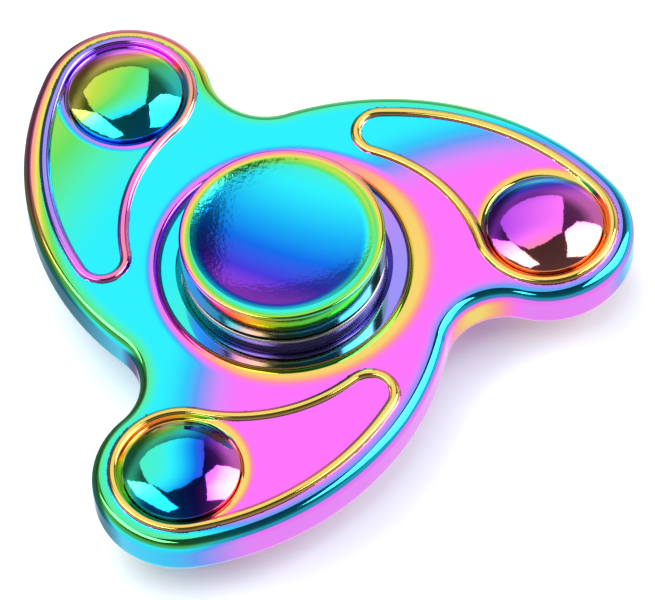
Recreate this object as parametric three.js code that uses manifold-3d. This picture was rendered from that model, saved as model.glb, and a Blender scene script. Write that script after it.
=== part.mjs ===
// Three-armed metal fidget spinner on a 608-size ball bearing.
// Millimetres, +Z up. The origin is on the spin axis at mid-thickness, and +X passes through
// the first counterweight. The spinner is the same above and below its mid-plane.
import * as THREE from 'three';
import { mergeVertices } from 'three/addons/utils/BufferGeometryUtils.js';
import Module from 'manifold-3d';

// Cast body
const armCount = 3;
const bodyThickness = 5.4;
const rimRadius = 1.5;
const tipRadius = 9.5;
const flankRadius = 32.1;
const flankMeetsTipAngle = 31.4;
const notchRadius = 6.4;

// Raised outline on each arm: tip round, outer sweep, tail round, inner sweep
const ribWidth = 1.05;
const ribHeight = 0.4;
const ribTipRadius = 7.2;
const ribOuterRadius = 29.6;
const ribInnerRadius = 18.2;
const ribTailRadius = 2.6;
const ribTailDistance = 19.5;
const ribTailAngle = 50.05;

// Domed counterweights
const weightDistance = 28.2;
const weightRadius = 6.2;
const weightRim = 0.25;
const domeRise = 2.3;
const weightSeatRound = 0.6;

// Recess round the bearing
const recessRadius = 13.3;
const recessDepth = 0.9;
const recessRound = 0.9;
const boreChamfer = 0.6;

// 608-size bearing: 8 mm bore, 22 mm outside diameter, 7 mm wide, seven 5/32 inch balls
const bearingBoreRadius = 4;
const bearingRadius = 11;
const bearingWidth = 7;
const ballCount = 7;
const ballRadius = 1.984;
const ballPitchRadius = 7.5;
const grooveClearance = 0.1;
const innerLandRadius = 6.0;
const outerLandRadius = 9.0;
const raceChamfer = 0.3;
const seatRadius = 9.75;
const seatHeight = 2.72;
const shieldInnerRadius = 6.3;
const shieldThickness = 0.3;
const snapRingThickness = 0.26;
const snapRingWidth = 0.55;
const snapRingGrooveDepth = 0.25;
const snapRingGap = 24;
const cageInnerRadius = 6.7;
const cageOuterRadius = 8.3;
const cageHalfHeight = 2.4;

// Finger caps
const capRadius = 11;
const capBottom = 4.05;
const capTop = 7.9;
const capEdgeRound = 0.45;
const capBottomRound = 0.3;
const dishRadius = 9.8;
const dishCurvature = 25;
const capBossRadius = 5.4;
const capStemEnd = 0.2;

// Fits between neighbouring pieces
const pressGap = 0.04;
const runningGap = 0.3;

// How far the hole cutters reach past the faces
const cutterReach = 1;

// Fineness of the facets
const arcSteps = 8;
const rimSteps = 3;
const edgeSteps = 2;
const smallRoundSteps = 1;
const domeSteps = 4;
const wideSegments = 48;
const ringSegments = 42;
const weightSegments = 28;
const ballSegments = 12;
const ballRings = 7;
const snapRingSteps = 24;

const rainbow = { roughness: 0.12, metalness: 1 };
const steel = { roughness: 0.25, metalness: 1 };
const colours = {
  body: 0x59c8e6,
  weight: 0x7a5fd0,
  cap: 0x3fb6e8,
  race: 0x9fa2a8,
  ball: 0xc4c7cc,
  cage: 0xb08d4f,
  shield: 0x85888e,
  snapRing: 0x6f7278,
};

const wasm = await Module();
wasm.setup();

const radians = THREE.MathUtils.degToRad;
const turn = (2 * Math.PI) / armCount;

function polar(distance, degrees) {
  const angle = radians(degrees);
  return new THREE.Vector2(distance * Math.cos(angle), distance * Math.sin(angle));
}

function turned(point, angle) {
  return point.clone().rotateAround(new THREE.Vector2(), angle);
}

// Centre that is distanceA from a and distanceB from b, on the left of the way from a to b.
function centreLeftOf(a, distanceA, b, distanceB) {
  const along = b.clone().sub(a);
  const span = along.length();
  const foot = (distanceA ** 2 - distanceB ** 2 + span ** 2) / (2 * span);
  const height = Math.sqrt(distanceA ** 2 - foot ** 2);
  along.normalize();
  const left = new THREE.Vector2(-along.y, along.x);
  return a.clone().addScaledVector(along, foot).addScaledVector(left, height);
}

// Angle of the ray from one point to another.
function bearingAngle(from, to) {
  return Math.atan2(to.y - from.y, to.x - from.x);
}

// Points of an arc from one angle to another, clockwise or not, without its last point.
function arcPoints(centre, radius, from, to, clockwise) {
  let sweep = (to - from) % (2 * Math.PI);
  if (clockwise && sweep > 0) sweep -= 2 * Math.PI;
  if (!clockwise && sweep < 0) sweep += 2 * Math.PI;
  const points = [];
  for (let step = 0; step < arcSteps; step += 1) {
    const angle = from + (sweep * step) / arcSteps;
    const offset = new THREE.Vector2(Math.cos(angle), Math.sin(angle));
    points.push(centre.clone().addScaledVector(offset, radius));
  }
  return points;
}

// Outline of the body: on each arm a long flank, the tip, and the notch that runs into the
// next arm's flank. Every arc is tangent to the next.
function bodyOutline() {
  const tip = polar(weightDistance, 0);
  const flank = tip.clone().sub(polar(flankRadius - tipRadius, flankMeetsTipAngle));
  const nextFlank = turned(flank, -turn);
  const notch = centreLeftOf(
    tip, tipRadius + notchRadius, nextFlank, flankRadius + notchRadius,
  );
  const lastNotch = turned(notch, turn);
  const meeting = radians(flankMeetsTipAngle);
  const arm = [
    ...arcPoints(flank, flankRadius, bearingAngle(flank, lastNotch), meeting, true),
    ...arcPoints(tip, tipRadius, meeting, bearingAngle(tip, notch), true),
    ...arcPoints(
      notch, notchRadius, bearingAngle(notch, tip), bearingAngle(notch, nextFlank), false,
    ),
  ];
  const points = [];
  for (let index = 0; index < armCount; index += 1) {
    points.push(...arm.map((point) => turned(point, -index * turn)));
  }
  return points;
}

// One arm's raised outline, grown outwards by offset from its centre line.
function ribLoop(offset) {
  const tip = polar(weightDistance, 0);
  const tail = polar(ribTailDistance, ribTailAngle);
  const outer = centreLeftOf(
    tip, ribOuterRadius - ribTipRadius, tail, ribOuterRadius - ribTailRadius,
  );
  const inner = centreLeftOf(
    tip, ribInnerRadius + ribTipRadius, tail, ribInnerRadius + ribTailRadius,
  );
  return [
    ...arcPoints(
      outer, ribOuterRadius + offset, bearingAngle(outer, tail), bearingAngle(outer, tip), true,
    ),
    ...arcPoints(
      tip, ribTipRadius + offset, bearingAngle(outer, tip), bearingAngle(tip, inner), true,
    ),
    ...arcPoints(
      inner, ribInnerRadius - offset, bearingAngle(inner, tip), bearingAngle(inner, tail), false,
    ),
    ...arcPoints(
      tail, ribTailRadius + offset, bearingAngle(tail, inner), bearingAngle(outer, tail), true,
    ),
  ];
}

// Position-only geometry with shared vertices and no collapsed faces.
function welded(geometry) {
  const bare = geometry.index ? geometry.toNonIndexed() : geometry;
  bare.deleteAttribute('normal');
  bare.deleteAttribute('uv');
  const merged = mergeVertices(bare, 1e-5);
  const corners = merged.index.array;
  const kept = [];
  for (let first = 0; first < corners.length; first += 3) {
    const [a, b, c] = corners.slice(first, first + 3);
    if (a !== b && b !== c && c !== a) kept.push(a, b, c);
  }
  merged.setIndex(kept);
  return merged;
}

function toSolid(geometry) {
  const shape = welded(geometry);
  return new wasm.Manifold(new wasm.Mesh({
    numProp: 3,
    vertProperties: new Float32Array(shape.attributes.position.array),
    triVerts: new Uint32Array(shape.index.array),
  }));
}

function toGeometry(solid) {
  const mesh = solid.getMesh();
  const geometry = new THREE.BufferGeometry();
  geometry.setAttribute('position', new THREE.BufferAttribute(mesh.vertProperties, 3));
  geometry.setIndex(new THREE.BufferAttribute(mesh.triVerts, 1));
  return geometry;
}

// Solid of revolution about +Z from [radius, height] pairs that run up the outside.
function revolve(profile, segments) {
  const points = profile.map(([radius, height]) => new THREE.Vector2(radius, height));
  const geometry = new THREE.LatheGeometry(points, segments);
  geometry.rotateX(Math.PI / 2);
  return geometry;
}

// [radius, height] pairs along an arc in a profile, both ends included.
function profileArc(radius, height, size, fromDegrees, toDegrees, steps) {
  const pairs = [];
  for (let step = 0; step <= steps; step += 1) {
    const angle = radians(fromDegrees + ((toDegrees - fromDegrees) * step) / steps);
    pairs.push([radius + size * Math.cos(angle), height + size * Math.sin(angle)]);
  }
  return pairs;
}

function mirroredUp(profile) {
  return profile.map(([radius, height]) => [radius, -height]).reverse();
}

// Cutter for a round hole through the body whose edges are rounded over at both faces.
function holeCutter(radius, round, segments) {
  const face = bodyThickness / 2;
  const clear = face + cutterReach;
  const lowerEdge = [
    [radius + round, -clear],
    ...profileArc(radius + round, -face + round, round, -90, -180, edgeSteps),
  ];
  return revolve([[0, -clear], ...lowerEdge, ...mirroredUp(lowerEdge), [0, clear]], segments);
}

// Cutter for the bearing bore with a stepped, rounded recess round it at both faces.
function hubCutter() {
  const face = bodyThickness / 2;
  const clear = face + cutterReach;
  const floor = face - recessDepth;
  const bore = bearingRadius + pressGap;
  const outer = recessRadius + recessRound;
  const lower = [
    [outer, -clear],
    ...profileArc(outer, -face + recessRound, recessRound, -90, -180, edgeSteps),
    [recessRadius, -floor],
    [bore + boreChamfer, -floor],
    [bore, -floor + boreChamfer],
  ];
  return revolve([[0, -clear], ...lower, ...mirroredUp(lower), [0, clear]], wideSegments);
}

function bodySlab() {
  const depth = bodyThickness - 2 * rimRadius;
  const slab = new THREE.ExtrudeGeometry(new THREE.Shape(bodyOutline()), {
    depth,
    bevelThickness: rimRadius,
    bevelSize: rimRadius,
    bevelOffset: -rimRadius,
    bevelSegments: rimSteps,
  });
  slab.translate(0, 0, -depth / 2);
  return slab;
}

// Rib that stands on the upper face, with its root sunk in the slab.
function ribBar() {
  const bevel = ribHeight / 2;
  const half = ribWidth / 2 - bevel;
  const shape = new THREE.Shape(ribLoop(half).reverse());
  shape.holes.push(new THREE.Path(ribLoop(-half)));
  const depth = 2 * ribHeight;
  const bar = new THREE.ExtrudeGeometry(shape, {
    depth,
    bevelThickness: bevel,
    bevelSize: bevel,
    bevelSegments: 1,
  });
  bar.translate(0, 0, bodyThickness / 2 + ribHeight - bevel - depth);
  return bar;
}

function spinnerBody() {
  let body = toSolid(bodySlab());
  for (let index = 0; index < armCount; index += 1) {
    const upperRib = ribBar().rotateZ(index * turn);
    const lowerRib = ribBar().scale(1, 1, -1).rotateZ(index * turn);
    body = body.add(toSolid(upperRib)).add(toSolid(flipped(lowerRib)));
    const hole = holeCutter(weightRadius + pressGap, weightSeatRound, weightSegments);
    const centre = turned(polar(weightDistance, 0), index * turn);
    body = body.subtract(toSolid(hole.translate(centre.x, centre.y, 0)));
  }
  return toGeometry(body.subtract(toSolid(hubCutter())));
}

// Turns every face over, for a geometry that was mirrored.
function flipped(geometry) {
  const shape = welded(geometry);
  const corners = shape.index.array;
  for (let first = 0; first < corners.length; first += 3) {
    [corners[first], corners[first + 1]] = [corners[first + 1], corners[first]];
  }
  return shape;
}

// Slug with a shallow dome on each end.
function counterweight() {
  const rim = bodyThickness / 2 + weightRim;
  const sphere = (weightRadius ** 2 + domeRise ** 2) / (2 * domeRise);
  const edge = THREE.MathUtils.radToDeg(Math.asin(weightRadius / sphere));
  const lowerDome = profileArc(0, -rim - domeRise + sphere, sphere, -90, -90 + edge, domeSteps);
  lowerDome[0] = [0, -rim - domeRise];
  return revolve([...lowerDome, ...mirroredUp(lowerDome)], weightSegments);
}

// Half of a race's ball groove, from the land at one side to its middle.
function grooveArc(side, landRadius) {
  const size = ballRadius + grooveClearance;
  const edge = THREE.MathUtils.radToDeg(Math.acos(Math.abs(landRadius - ballPitchRadius) / size));
  return side > 0
    ? profileArc(ballPitchRadius, 0, size, edge, -edge, 2 * edgeSteps)
    : profileArc(ballPitchRadius, 0, size, 180 + edge, 180 - edge, 2 * edgeSteps);
}

function outerRace() {
  const half = bearingWidth / 2;
  const ringTop = seatHeight + shieldThickness + 2 * pressGap;
  const grooveTop = ringTop + snapRingThickness;
  const groove = seatRadius + snapRingGrooveDepth;
  const upperSeat = [
    [seatRadius, half],
    [seatRadius, grooveTop],
    [groove, grooveTop],
    [groove, ringTop],
    [seatRadius, ringTop],
    [seatRadius, seatHeight],
    [outerLandRadius, seatHeight],
  ];
  const outside = [
    [bearingRadius - raceChamfer, -half],
    [bearingRadius, -half + raceChamfer],
    [bearingRadius, half - raceChamfer],
    [bearingRadius - raceChamfer, half],
  ];
  const profile = [
    ...outside,
    ...upperSeat,
    ...grooveArc(1, outerLandRadius),
    ...mirroredUp(upperSeat),
    outside[0],
  ];
  return revolve(profile, wideSegments);
}

function innerRace() {
  const half = bearingWidth / 2;
  const profile = [
    [innerLandRadius, -half],
    ...grooveArc(-1, innerLandRadius),
    [innerLandRadius, half],
    [bearingBoreRadius + raceChamfer, half],
    [bearingBoreRadius, half - raceChamfer],
    [bearingBoreRadius, -half + raceChamfer],
    [bearingBoreRadius + raceChamfer, -half],
    [innerLandRadius, -half],
  ];
  return revolve(profile, ringSegments);
}

function ball(radius) {
  const geometry = new THREE.SphereGeometry(radius, ballSegments, ballRings);
  return geometry.rotateX(Math.PI / 2);
}

// Upper half of the cage: a ring whose lower face has a round pocket over each ball.
function cageHalf() {
  const split = runningGap / 2;
  const ring = revolve([
    [cageOuterRadius, split],
    [cageOuterRadius, cageHalfHeight],
    [cageInnerRadius, cageHalfHeight],
    [cageInnerRadius, split],
    [cageOuterRadius, split],
  ], ringSegments);
  let cage = toSolid(ring);
  for (let index = 0; index < ballCount; index += 1) {
    const angle = (2 * Math.PI * index) / ballCount;
    const pocket = ball(ballRadius + grooveClearance);
    pocket.translate(ballPitchRadius * Math.cos(angle), ballPitchRadius * Math.sin(angle), 0);
    cage = cage.subtract(toSolid(pocket));
  }
  return toGeometry(cage);
}

function shield() {
  const bottom = seatHeight + pressGap;
  const outer = seatRadius - pressGap;
  return revolve([
    [outer, bottom],
    [outer, bottom + shieldThickness],
    [shieldInnerRadius, bottom + shieldThickness],
    [shieldInnerRadius, bottom],
    [outer, bottom],
  ], wideSegments);
}

// Split ring of rectangular section in the groove above a shield.
function snapRing() {
  const outer = seatRadius + snapRingGrooveDepth - pressGap;
  const inner = outer - snapRingWidth;
  const start = radians(snapRingGap / 2);
  const end = 2 * Math.PI - start;
  const outline = [];
  for (let step = 0; step <= snapRingSteps; step += 1) {
    const angle = start + ((end - start) * step) / snapRingSteps;
    outline.push(new THREE.Vector2(outer * Math.cos(angle), outer * Math.sin(angle)));
  }
  for (let step = snapRingSteps; step >= 0; step -= 1) {
    const angle = start + ((end - start) * step) / snapRingSteps;
    outline.push(new THREE.Vector2(inner * Math.cos(angle), inner * Math.sin(angle)));
  }
  const depth = snapRingThickness - 2 * pressGap;
  const ring = new THREE.ExtrudeGeometry(new THREE.Shape(outline), {
    depth,
    bevelEnabled: false,
  });
  ring.translate(0, 0, seatHeight + shieldThickness + 3 * pressGap);
  return ring;
}

// Upper cap: dished top, flat lip, rounded edge, skirt, and a stem that enters the bearing.
function fingerCap() {
  const dishEdge = THREE.MathUtils.radToDeg(Math.asin(dishRadius / dishCurvature));
  const dishCentre = capTop + Math.sqrt(dishCurvature ** 2 - dishRadius ** 2);
  const dish = profileArc(0, dishCentre, dishCurvature, -90 + dishEdge, -90, domeSteps);
  dish[dish.length - 1] = [0, dishCentre - dishCurvature];
  const stem = bearingBoreRadius - pressGap;
  const foot = bearingWidth / 2 + pressGap;
  const lower = capRadius - capBottomRound;
  const upper = capRadius - capEdgeRound;
  return revolve([
    [0, capStemEnd],
    [stem, capStemEnd],
    [stem, foot],
    [capBossRadius, foot],
    [capBossRadius, capBottom],
    ...profileArc(lower, capBottom + capBottomRound, capBottomRound, -90, 0, smallRoundSteps),
    ...profileArc(upper, capTop - capEdgeRound, capEdgeRound, 0, 90, edgeSteps),
    ...dish,
  ], wideSegments);
}

const spinner = new THREE.Group();
spinner.name = 'fidget_spinner';

function addPiece(name, geometry, colour, finish, parent = spinner) {
  const material = new THREE.MeshStandardMaterial({ color: colour, ...finish });
  const mesh = new THREE.Mesh(welded(geometry), material);
  mesh.name = name;
  parent.add(mesh);
  return mesh;
}

addPiece('spinner_body', spinnerBody(), colours.body, rainbow);
for (let index = 0; index < armCount; index += 1) {
  const weight = addPiece(`counterweight_${index + 1}`, counterweight(), colours.weight, rainbow);
  const centre = turned(polar(weightDistance, 0), index * turn);
  weight.position.set(centre.x, centre.y, 0);
}

addPiece('bearing_outer_race', outerRace(), colours.race, steel);
addPiece('bearing_inner_race', innerRace(), colours.race, steel);
for (let index = 0; index < ballCount; index += 1) {
  const angle = (2 * Math.PI * index) / ballCount;
  const piece = addPiece(`bearing_ball_${index + 1}`, ball(ballRadius), colours.ball, steel);
  piece.position.set(ballPitchRadius * Math.cos(angle), ballPitchRadius * Math.sin(angle), 0);
}

// The pieces that come in pairs are made for the upper side and turned over for the lower.
const upperSide = new THREE.Group();
const lowerSide = new THREE.Group();
lowerSide.rotation.x = Math.PI;
spinner.add(upperSide, lowerSide);
for (const [side, label] of [[upperSide, 'upper'], [lowerSide, 'lower']]) {
  addPiece(`cage_${label}_half`, cageHalf(), colours.cage, steel, side);
  addPiece(`bearing_${label}_shield`, shield(), colours.shield, steel, side);
  addPiece(`${label}_snap_ring`, snapRing(), colours.snapRing, steel, side);
  addPiece(`${label}_finger_cap`, fingerCap(), colours.cap, rainbow, side);
}

export default spinner;
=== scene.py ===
import math

import bpy
import numpy as np
from mathutils import Matrix, Vector
from mathutils.geometry import delaunay_2d_cdt

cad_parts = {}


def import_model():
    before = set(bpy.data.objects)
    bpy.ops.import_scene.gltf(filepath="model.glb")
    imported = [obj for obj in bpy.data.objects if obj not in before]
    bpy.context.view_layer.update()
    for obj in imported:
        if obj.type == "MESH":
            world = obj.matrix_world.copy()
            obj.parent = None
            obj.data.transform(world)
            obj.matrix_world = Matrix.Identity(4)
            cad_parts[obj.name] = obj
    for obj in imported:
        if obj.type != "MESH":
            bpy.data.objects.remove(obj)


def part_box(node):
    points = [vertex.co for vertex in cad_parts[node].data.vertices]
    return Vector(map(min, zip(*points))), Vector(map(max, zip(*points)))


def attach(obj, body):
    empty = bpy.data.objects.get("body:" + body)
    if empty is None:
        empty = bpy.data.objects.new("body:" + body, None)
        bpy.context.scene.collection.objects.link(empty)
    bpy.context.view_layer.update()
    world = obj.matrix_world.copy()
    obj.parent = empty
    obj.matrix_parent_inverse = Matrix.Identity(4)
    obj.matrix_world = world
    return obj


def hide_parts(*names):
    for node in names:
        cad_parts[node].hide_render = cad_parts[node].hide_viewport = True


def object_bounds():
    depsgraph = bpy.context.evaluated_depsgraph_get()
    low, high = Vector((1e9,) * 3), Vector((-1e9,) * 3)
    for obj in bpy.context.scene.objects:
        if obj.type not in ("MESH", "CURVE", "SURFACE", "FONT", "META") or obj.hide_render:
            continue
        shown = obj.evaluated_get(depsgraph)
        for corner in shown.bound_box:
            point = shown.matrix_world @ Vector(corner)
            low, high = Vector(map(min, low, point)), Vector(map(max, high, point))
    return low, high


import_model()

MM = 0.001
cad_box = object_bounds()


def box_mm(node):
    low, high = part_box(node)
    return np.array(low) / MM, np.array(high) / MM


# Body
ARMS = 3
TURN = 2 * math.pi / ARMS
RIM_RADIUS = 1.5
TIP_RADIUS = 9.5
FLANK_RADIUS = 32.1
FLANK_MEETS_TIP = math.radians(31.4)
NOTCH_RADIUS = 6.4

# Raised outline on each arm
RIB_HEIGHT = 0.4
RIB_FOOT = 0.66
RIB_CROWN = 2.8
RIB_TIP_RADIUS = 7.2
RIB_OUTER_RADIUS = 29.6
RIB_INNER_RADIUS = 18.2
RIB_TAIL_RADIUS = 2.6
RIB_TAIL_DISTANCE = 19.5
RIB_TAIL_ANGLE = math.radians(50.05)

FACE = box_mm("spinner_body")[1][2] - RIB_HEIGHT

# Names and directions of what is made above and below the mid-plane
SIDES = (("upper", 1), ("lower", -1))
FLIP = np.array([1, 1, -1])

# Counterweights
weight_low, weight_high = box_mm("counterweight_1")
WEIGHT_DISTANCE = (weight_low[0] + weight_high[0]) / 2
WEIGHT_RADIUS = 6.2
WEIGHT_TOP = weight_high[2]
WEIGHT_RIM = 0.25
WEIGHT_EDGE = 0.16
SEAT_DEPTH = 0.5
SEAT_FLARE = 7.4

# Recess round the bearing
RECESS_RADIUS = 13.3
RECESS_DEPTH = 0.9
RECESS_FLARE = 14.5
RECESS_FILLET = 0.22
BORE_CHAMFER = 0.6
PRESS_GAP = 0.04

# Finger caps
CAP_RADIUS, _, CAP_TOP = box_mm("upper_finger_cap")[1]
CAP_BOTTOM = 4.05
CAP_EDGE_ROUND = 0.45
CAP_BOTTOM_ROUND = 0.3
CAP_BOSS_RADIUS = 5.4
CAP_STEM_END = 0.2
CAP_STEM_ROUND = 0.2
DISH_RADIUS = 9.8
DISH_CURVATURE = 25
DISH_EDGE_ROUND = 0.25

# 608-size bearing
BEARING_BORE = 4
BEARING_RADIUS = 11
BEARING_HALF = 3.5
BALLS = 7
BALL_PITCH = 7.5
BALL_RADIUS = 1.984
GROOVE_RADIUS = 2.084
INNER_LAND = 6.0
OUTER_LAND = 9.0
RACE_CHAMFER = 0.3
SEAT_RADIUS = 9.75
SEAT_HEIGHT = 2.72
SHIELD_INNER = 6.3
SHIELD_THICKNESS = 0.3
SHIELD_DISH = 0.07
SHIELD_BEND = 1
SHEET_ROUND = 0.05
RING_THICKNESS = 0.26
RING_WIDTH = 0.55
RING_GROOVE = 0.25
RING_GAP = math.radians(24)
CAGE_INNER = 6.7
CAGE_OUTER = 8.3
CAGE_SPLIT = 0.15
CAGE_SHEET = 0.4
CAGE_TOP = 2.38
CAGE_POCKET = 2.07
CAGE_FILLET = 0.15
RIVET_RADIUS = 0.5
RIVET_HEIGHT = 0.25

# The film's phase over the body changes in rings round a point off its lower right: the start
# and end of each change, and the phase there.
FILM_CENTRE = (25, -25, 0)
FILM_RINGS = ((67, 53, 0.05, 0.25), (42, 32.5, 0, 0.45))
# On ribs and flares it changes along a line instead: the line's direction, where the change
# starts and ends along it, and the phase there.
TURNED_WAY = (1, -0.4, 0)
TURNED_FILM = (-31, -11, 0.5, 0.93)

# It changes to that over a share of a rib's height, and between two distances from a weight's
# axis. Round the recess it changes in part, between two distances from the recess's wall, which
# are further out at the lower right, and the share that it changes by is larger there.
RIB_TURNS = 0.35
SEAT_TURNS = (7.8, 6.9)
LOWER_RIGHT = (0.7, -0.7)
HUB_TURNS = (1.7, 0.5)
HUB_TURNS_FURTHER = (1.6, 1)
HUB_TURN_SHARE = (0.7, 0.3)

# Change of phase at the rim, and more of it outside the first ring and within the second. It
# grows between two distances in from the outline, and fades between two down over the edge.
RIM_FILM = -0.18
RIM_FILM_IN_RINGS = (-0.12, -0.25)
RIM_FILM_GROWS = (2.4, 0.2)
RIM_FILM_FADES = (1.2, 1.9)

# Phase of the side wall, its changes at the body's left and right ends and in the notches, the
# distances down over the edge where it takes over, and the change on the recess's floor
WALL_PHASE = 0.64
WALL_PHASE_LEFT = -0.3
WALL_LEFT = (-6, -19)
WALL_PHASE_RIGHT = -0.36
WALL_RIGHT = (33, 37.5)
WALL_PHASE_GROWS = (1.4, 2.6)
NOTCH_FILM = 0.3
FLOOR_FILM = -0.2

# How far the weights' phase lies behind the body's, the phase at a cap's middle and its change
# for each millimetre to the back, and the changes on a cap's parts
WEIGHT_FILM_LAG = 0.02
CAP_FILM = 0.13
CAP_FILM_TO_BACK = -0.0135
CAP_DISH_FILM = 0.28
CAP_DISH_FRONT_FILM = 0.0105
CAP_DISH_FILM_WIDTH = 1.2
CAP_SKIRT_FILM = -0.28
CAP_EDGE_FILM = -0.28

# Spacing of mesh points along outlines and over the flat, the least gap from its edges, and the
# step over which the cage's slope is taken
ALONG = 0.4
FILL = 1.3
APART = 0.05
SLOPE_STEP = 0.02

# Rows of points on the flat: in from the outline, out from the recess and the seats, and across
# a rib as shares of its foot
RIM_INSETS = (1.75, 2, 2.3)
HUB_ROWS = (0.3, 0.6, 0.9, 1.2, 1.5, 1.8, 2.1)
SEAT_ROWS = (0.12, 0.25, 0.4, 0.8)
HALF_RIB_ROWS = (0.2, 0.38, 0.53, 0.66, 0.77, 0.88, 1)

# Rows of points over edges, walls and domes, and steps round a turn
RIM_ROWS = 14
WALL_ROWS = 4
ROUND_ROWS = 10
CAP_BOTTOM_ROWS = 8
EDGE_ROWS = 6
SMALL_ROUND_ROWS = 5
DOME_ROWS = 28
DISH_ROWS = 30
CAGE_ROWS = 15
LATHE_STEPS = 144
HUB_STEPS = 240
CAP_STEPS = 192
SEAT_STEPS = 120
CAGE_STEPS = BALLS * 56
BALL_STEPS = 48


# ---- mesh making


class Skin:
    """Patches of surface that share points by place and keep a normal at each face corner."""

    def __init__(self):
        self.index = {}
        self.points, self.films, self.turns = [], [], []
        self.faces, self.normals, self.materials = [], [], []
        self.material = 0

    def point(self, place, film, turn):
        key = tuple(round(float(c), 5) for c in place)
        if key not in self.index:
            self.index[key] = len(self.points)
            self.points.append([c * MM for c in place])
            self.films.append(float(film))
            self.turns.append(float(turn))
        return self.index[key]

    def patch(self, places, normals, faces, films=0, turns=0):
        films, turns = (np.broadcast_to(values, len(places)) for values in (films, turns))
        ids = [self.point(*point) for point in zip(places, films, turns)]
        for face in faces:
            kept = [c for k, c in enumerate(face) if ids[c] != ids[face[k - 1]]]
            if len(kept) > 2:
                self.faces.append([ids[c] for c in kept])
                self.normals.extend(normals[c] for c in kept)
                self.materials.append(self.material)

    def grid(self, places, normals, films=0, closed=True):
        """places and normals are rows by columns by 3; closed joins the last column to the first."""
        faces = grid_faces(*places.shape[:2], closed)
        self.patch(places.reshape(-1, 3), normals.reshape(-1, 3), faces, films)

    def object(self, name):
        mesh = bpy.data.meshes.new(name)
        mesh.from_pydata(self.points, [], self.faces)
        mesh.polygons.foreach_set("use_smooth", [True] * len(self.faces))
        mesh.polygons.foreach_set("material_index", self.materials)
        for layer, values in (("film", self.films), ("film_turned", self.turns)):
            mesh.attributes.new(layer, "FLOAT", "POINT").data.foreach_set("value", values)
        mesh.normals_split_custom_set(np.array(self.normals, float).tolist())
        mesh.update()
        made = bpy.data.objects.new(name, mesh)
        bpy.context.scene.collection.objects.link(made)
        return made


def grid_faces(rows, columns, closed=True):
    faces = []
    for r in range(rows - 1):
        for c in range(columns if closed else columns - 1):
            d = (c + 1) % columns
            faces.append((r * columns + c, r * columns + d, (r + 1) * columns + d, (r + 1) * columns + c))
    return faces


def line(start, end):
    """A straight stretch of a profile, as radius, height and outward normal; solid on its left."""
    (r0, z0), (r1, z1) = start, end
    length = math.hypot(r1 - r0, z1 - z0)
    normal = ((z1 - z0) / length, -(r1 - r0) / length)
    return [(r0, z0, *normal), (r1, z1, *normal)]


def arc(centre, radius, start, end, steps, hollow=False):
    """A round stretch of a profile between two angles in degrees; hollow turns its normals in."""
    side = -1 if hollow else 1
    made = []
    for step in range(steps + 1):
        angle = math.radians(start + (end - start) * step / steps)
        c, s = math.cos(angle), math.sin(angle)
        made.append((centre[0] + radius * c, centre[1] + radius * s, side * c, side * s))
    return made


def lathe(skin, profile, centre=(0, 0), steps=LATHE_STEPS, film=None, gap=0):
    """Turns stretches of profile, which run up the outside, about a vertical axis, but for a gap."""
    angles = gap / 2 + (2 * math.pi - gap) * np.arange(steps + 1) / steps
    angles = angles if gap else angles[:-1]
    cos, sin = np.cos(angles), np.sin(angles)
    for stretch in profile:
        r, z, nr, nz = (np.array(v, float)[:, None] for v in zip(*stretch))
        flat = np.ones(len(angles))
        places = np.stack([centre[0] + r * cos, centre[1] + r * sin, z * flat], 2)
        normals = np.stack([nr * cos, nr * sin, nz * flat], 2)
        films = film(places.reshape(-1, 3)) if film else 0
        skin.grid(places, normals, films, closed=not gap)


def mirrored(profile):
    """The same profile below the mid-plane, still running up the outside."""
    return [[(r, -z, nr, -nz) for r, z, nr, nz in stretch[::-1]] for stretch in profile[::-1]]


# ---- plan of the body


def polar(distance, angle):
    return distance * np.array([math.cos(angle), math.sin(angle)])


def circle(centre, radius, steps):
    angles = np.arange(steps) * 2 * math.pi / steps
    return centre + radius * np.c_[np.cos(angles), np.sin(angles)]


def turned(point, angle):
    c, s = math.cos(angle), math.sin(angle)
    return np.array([c * point[0] - s * point[1], s * point[0] + c * point[1]])


def centre_left_of(a, distance_a, b, distance_b):
    """Point that is distance_a from a and distance_b from b, left of the way from a to b."""
    span = math.hypot(*(b - a))
    along = (b - a) / span
    foot = (distance_a**2 - distance_b**2 + span**2) / (2 * span)
    height = math.sqrt(distance_a**2 - foot**2)
    return a + along * foot + np.array([-along[1], along[0]]) * height


def heading(start, end):
    return math.atan2(end[1] - start[1], end[0] - start[0])


class Bow:
    """An arc of a closed plan outline that runs clockwise; a hollow one bends the other way."""

    def __init__(self, centre, radius, start, end, hollow=False):
        self.centre, self.radius, self.start, self.hollow = centre, radius, start, hollow
        self.sweep = (end - start) % (2 * math.pi)
        if not hollow:
            self.sweep -= 2 * math.pi

    def sample(self, spacing):
        """Points along the arc: centre, radius, direction, share of the way along it, and side."""
        count = max(4, round(abs(self.sweep) * self.radius / spacing))
        angles = self.start + self.sweep * np.arange(count) / count
        shares = (np.arange(count) + 0.5) / count
        return [(self.centre, self.radius, *point, self.hollow) for point in zip(angles, shares)]

    def rotated(self, angle):
        start = self.start + angle
        return Bow(turned(self.centre, angle), self.radius, start, start + self.sweep, self.hollow)

    def distance(self, points):
        """Signed distance of plan points, outward positive, its gradient, and if it's their arc."""
        away = points - self.centre
        reach = np.hypot(*away.T)
        out = away / np.maximum(reach, 1e-9)[:, None]
        angle = np.arctan2(away[:, 1], away[:, 0])
        passed = (angle - self.start) % (2 * math.pi)
        if self.sweep < 0:
            passed = (2 * math.pi - passed) % (2 * math.pi)
        side = -1 if self.hollow else 1
        slack = 1e-6
        mine = (passed <= abs(self.sweep) + slack) | (passed >= 2 * math.pi - slack)
        return side * (reach - self.radius), side * out, mine


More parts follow.
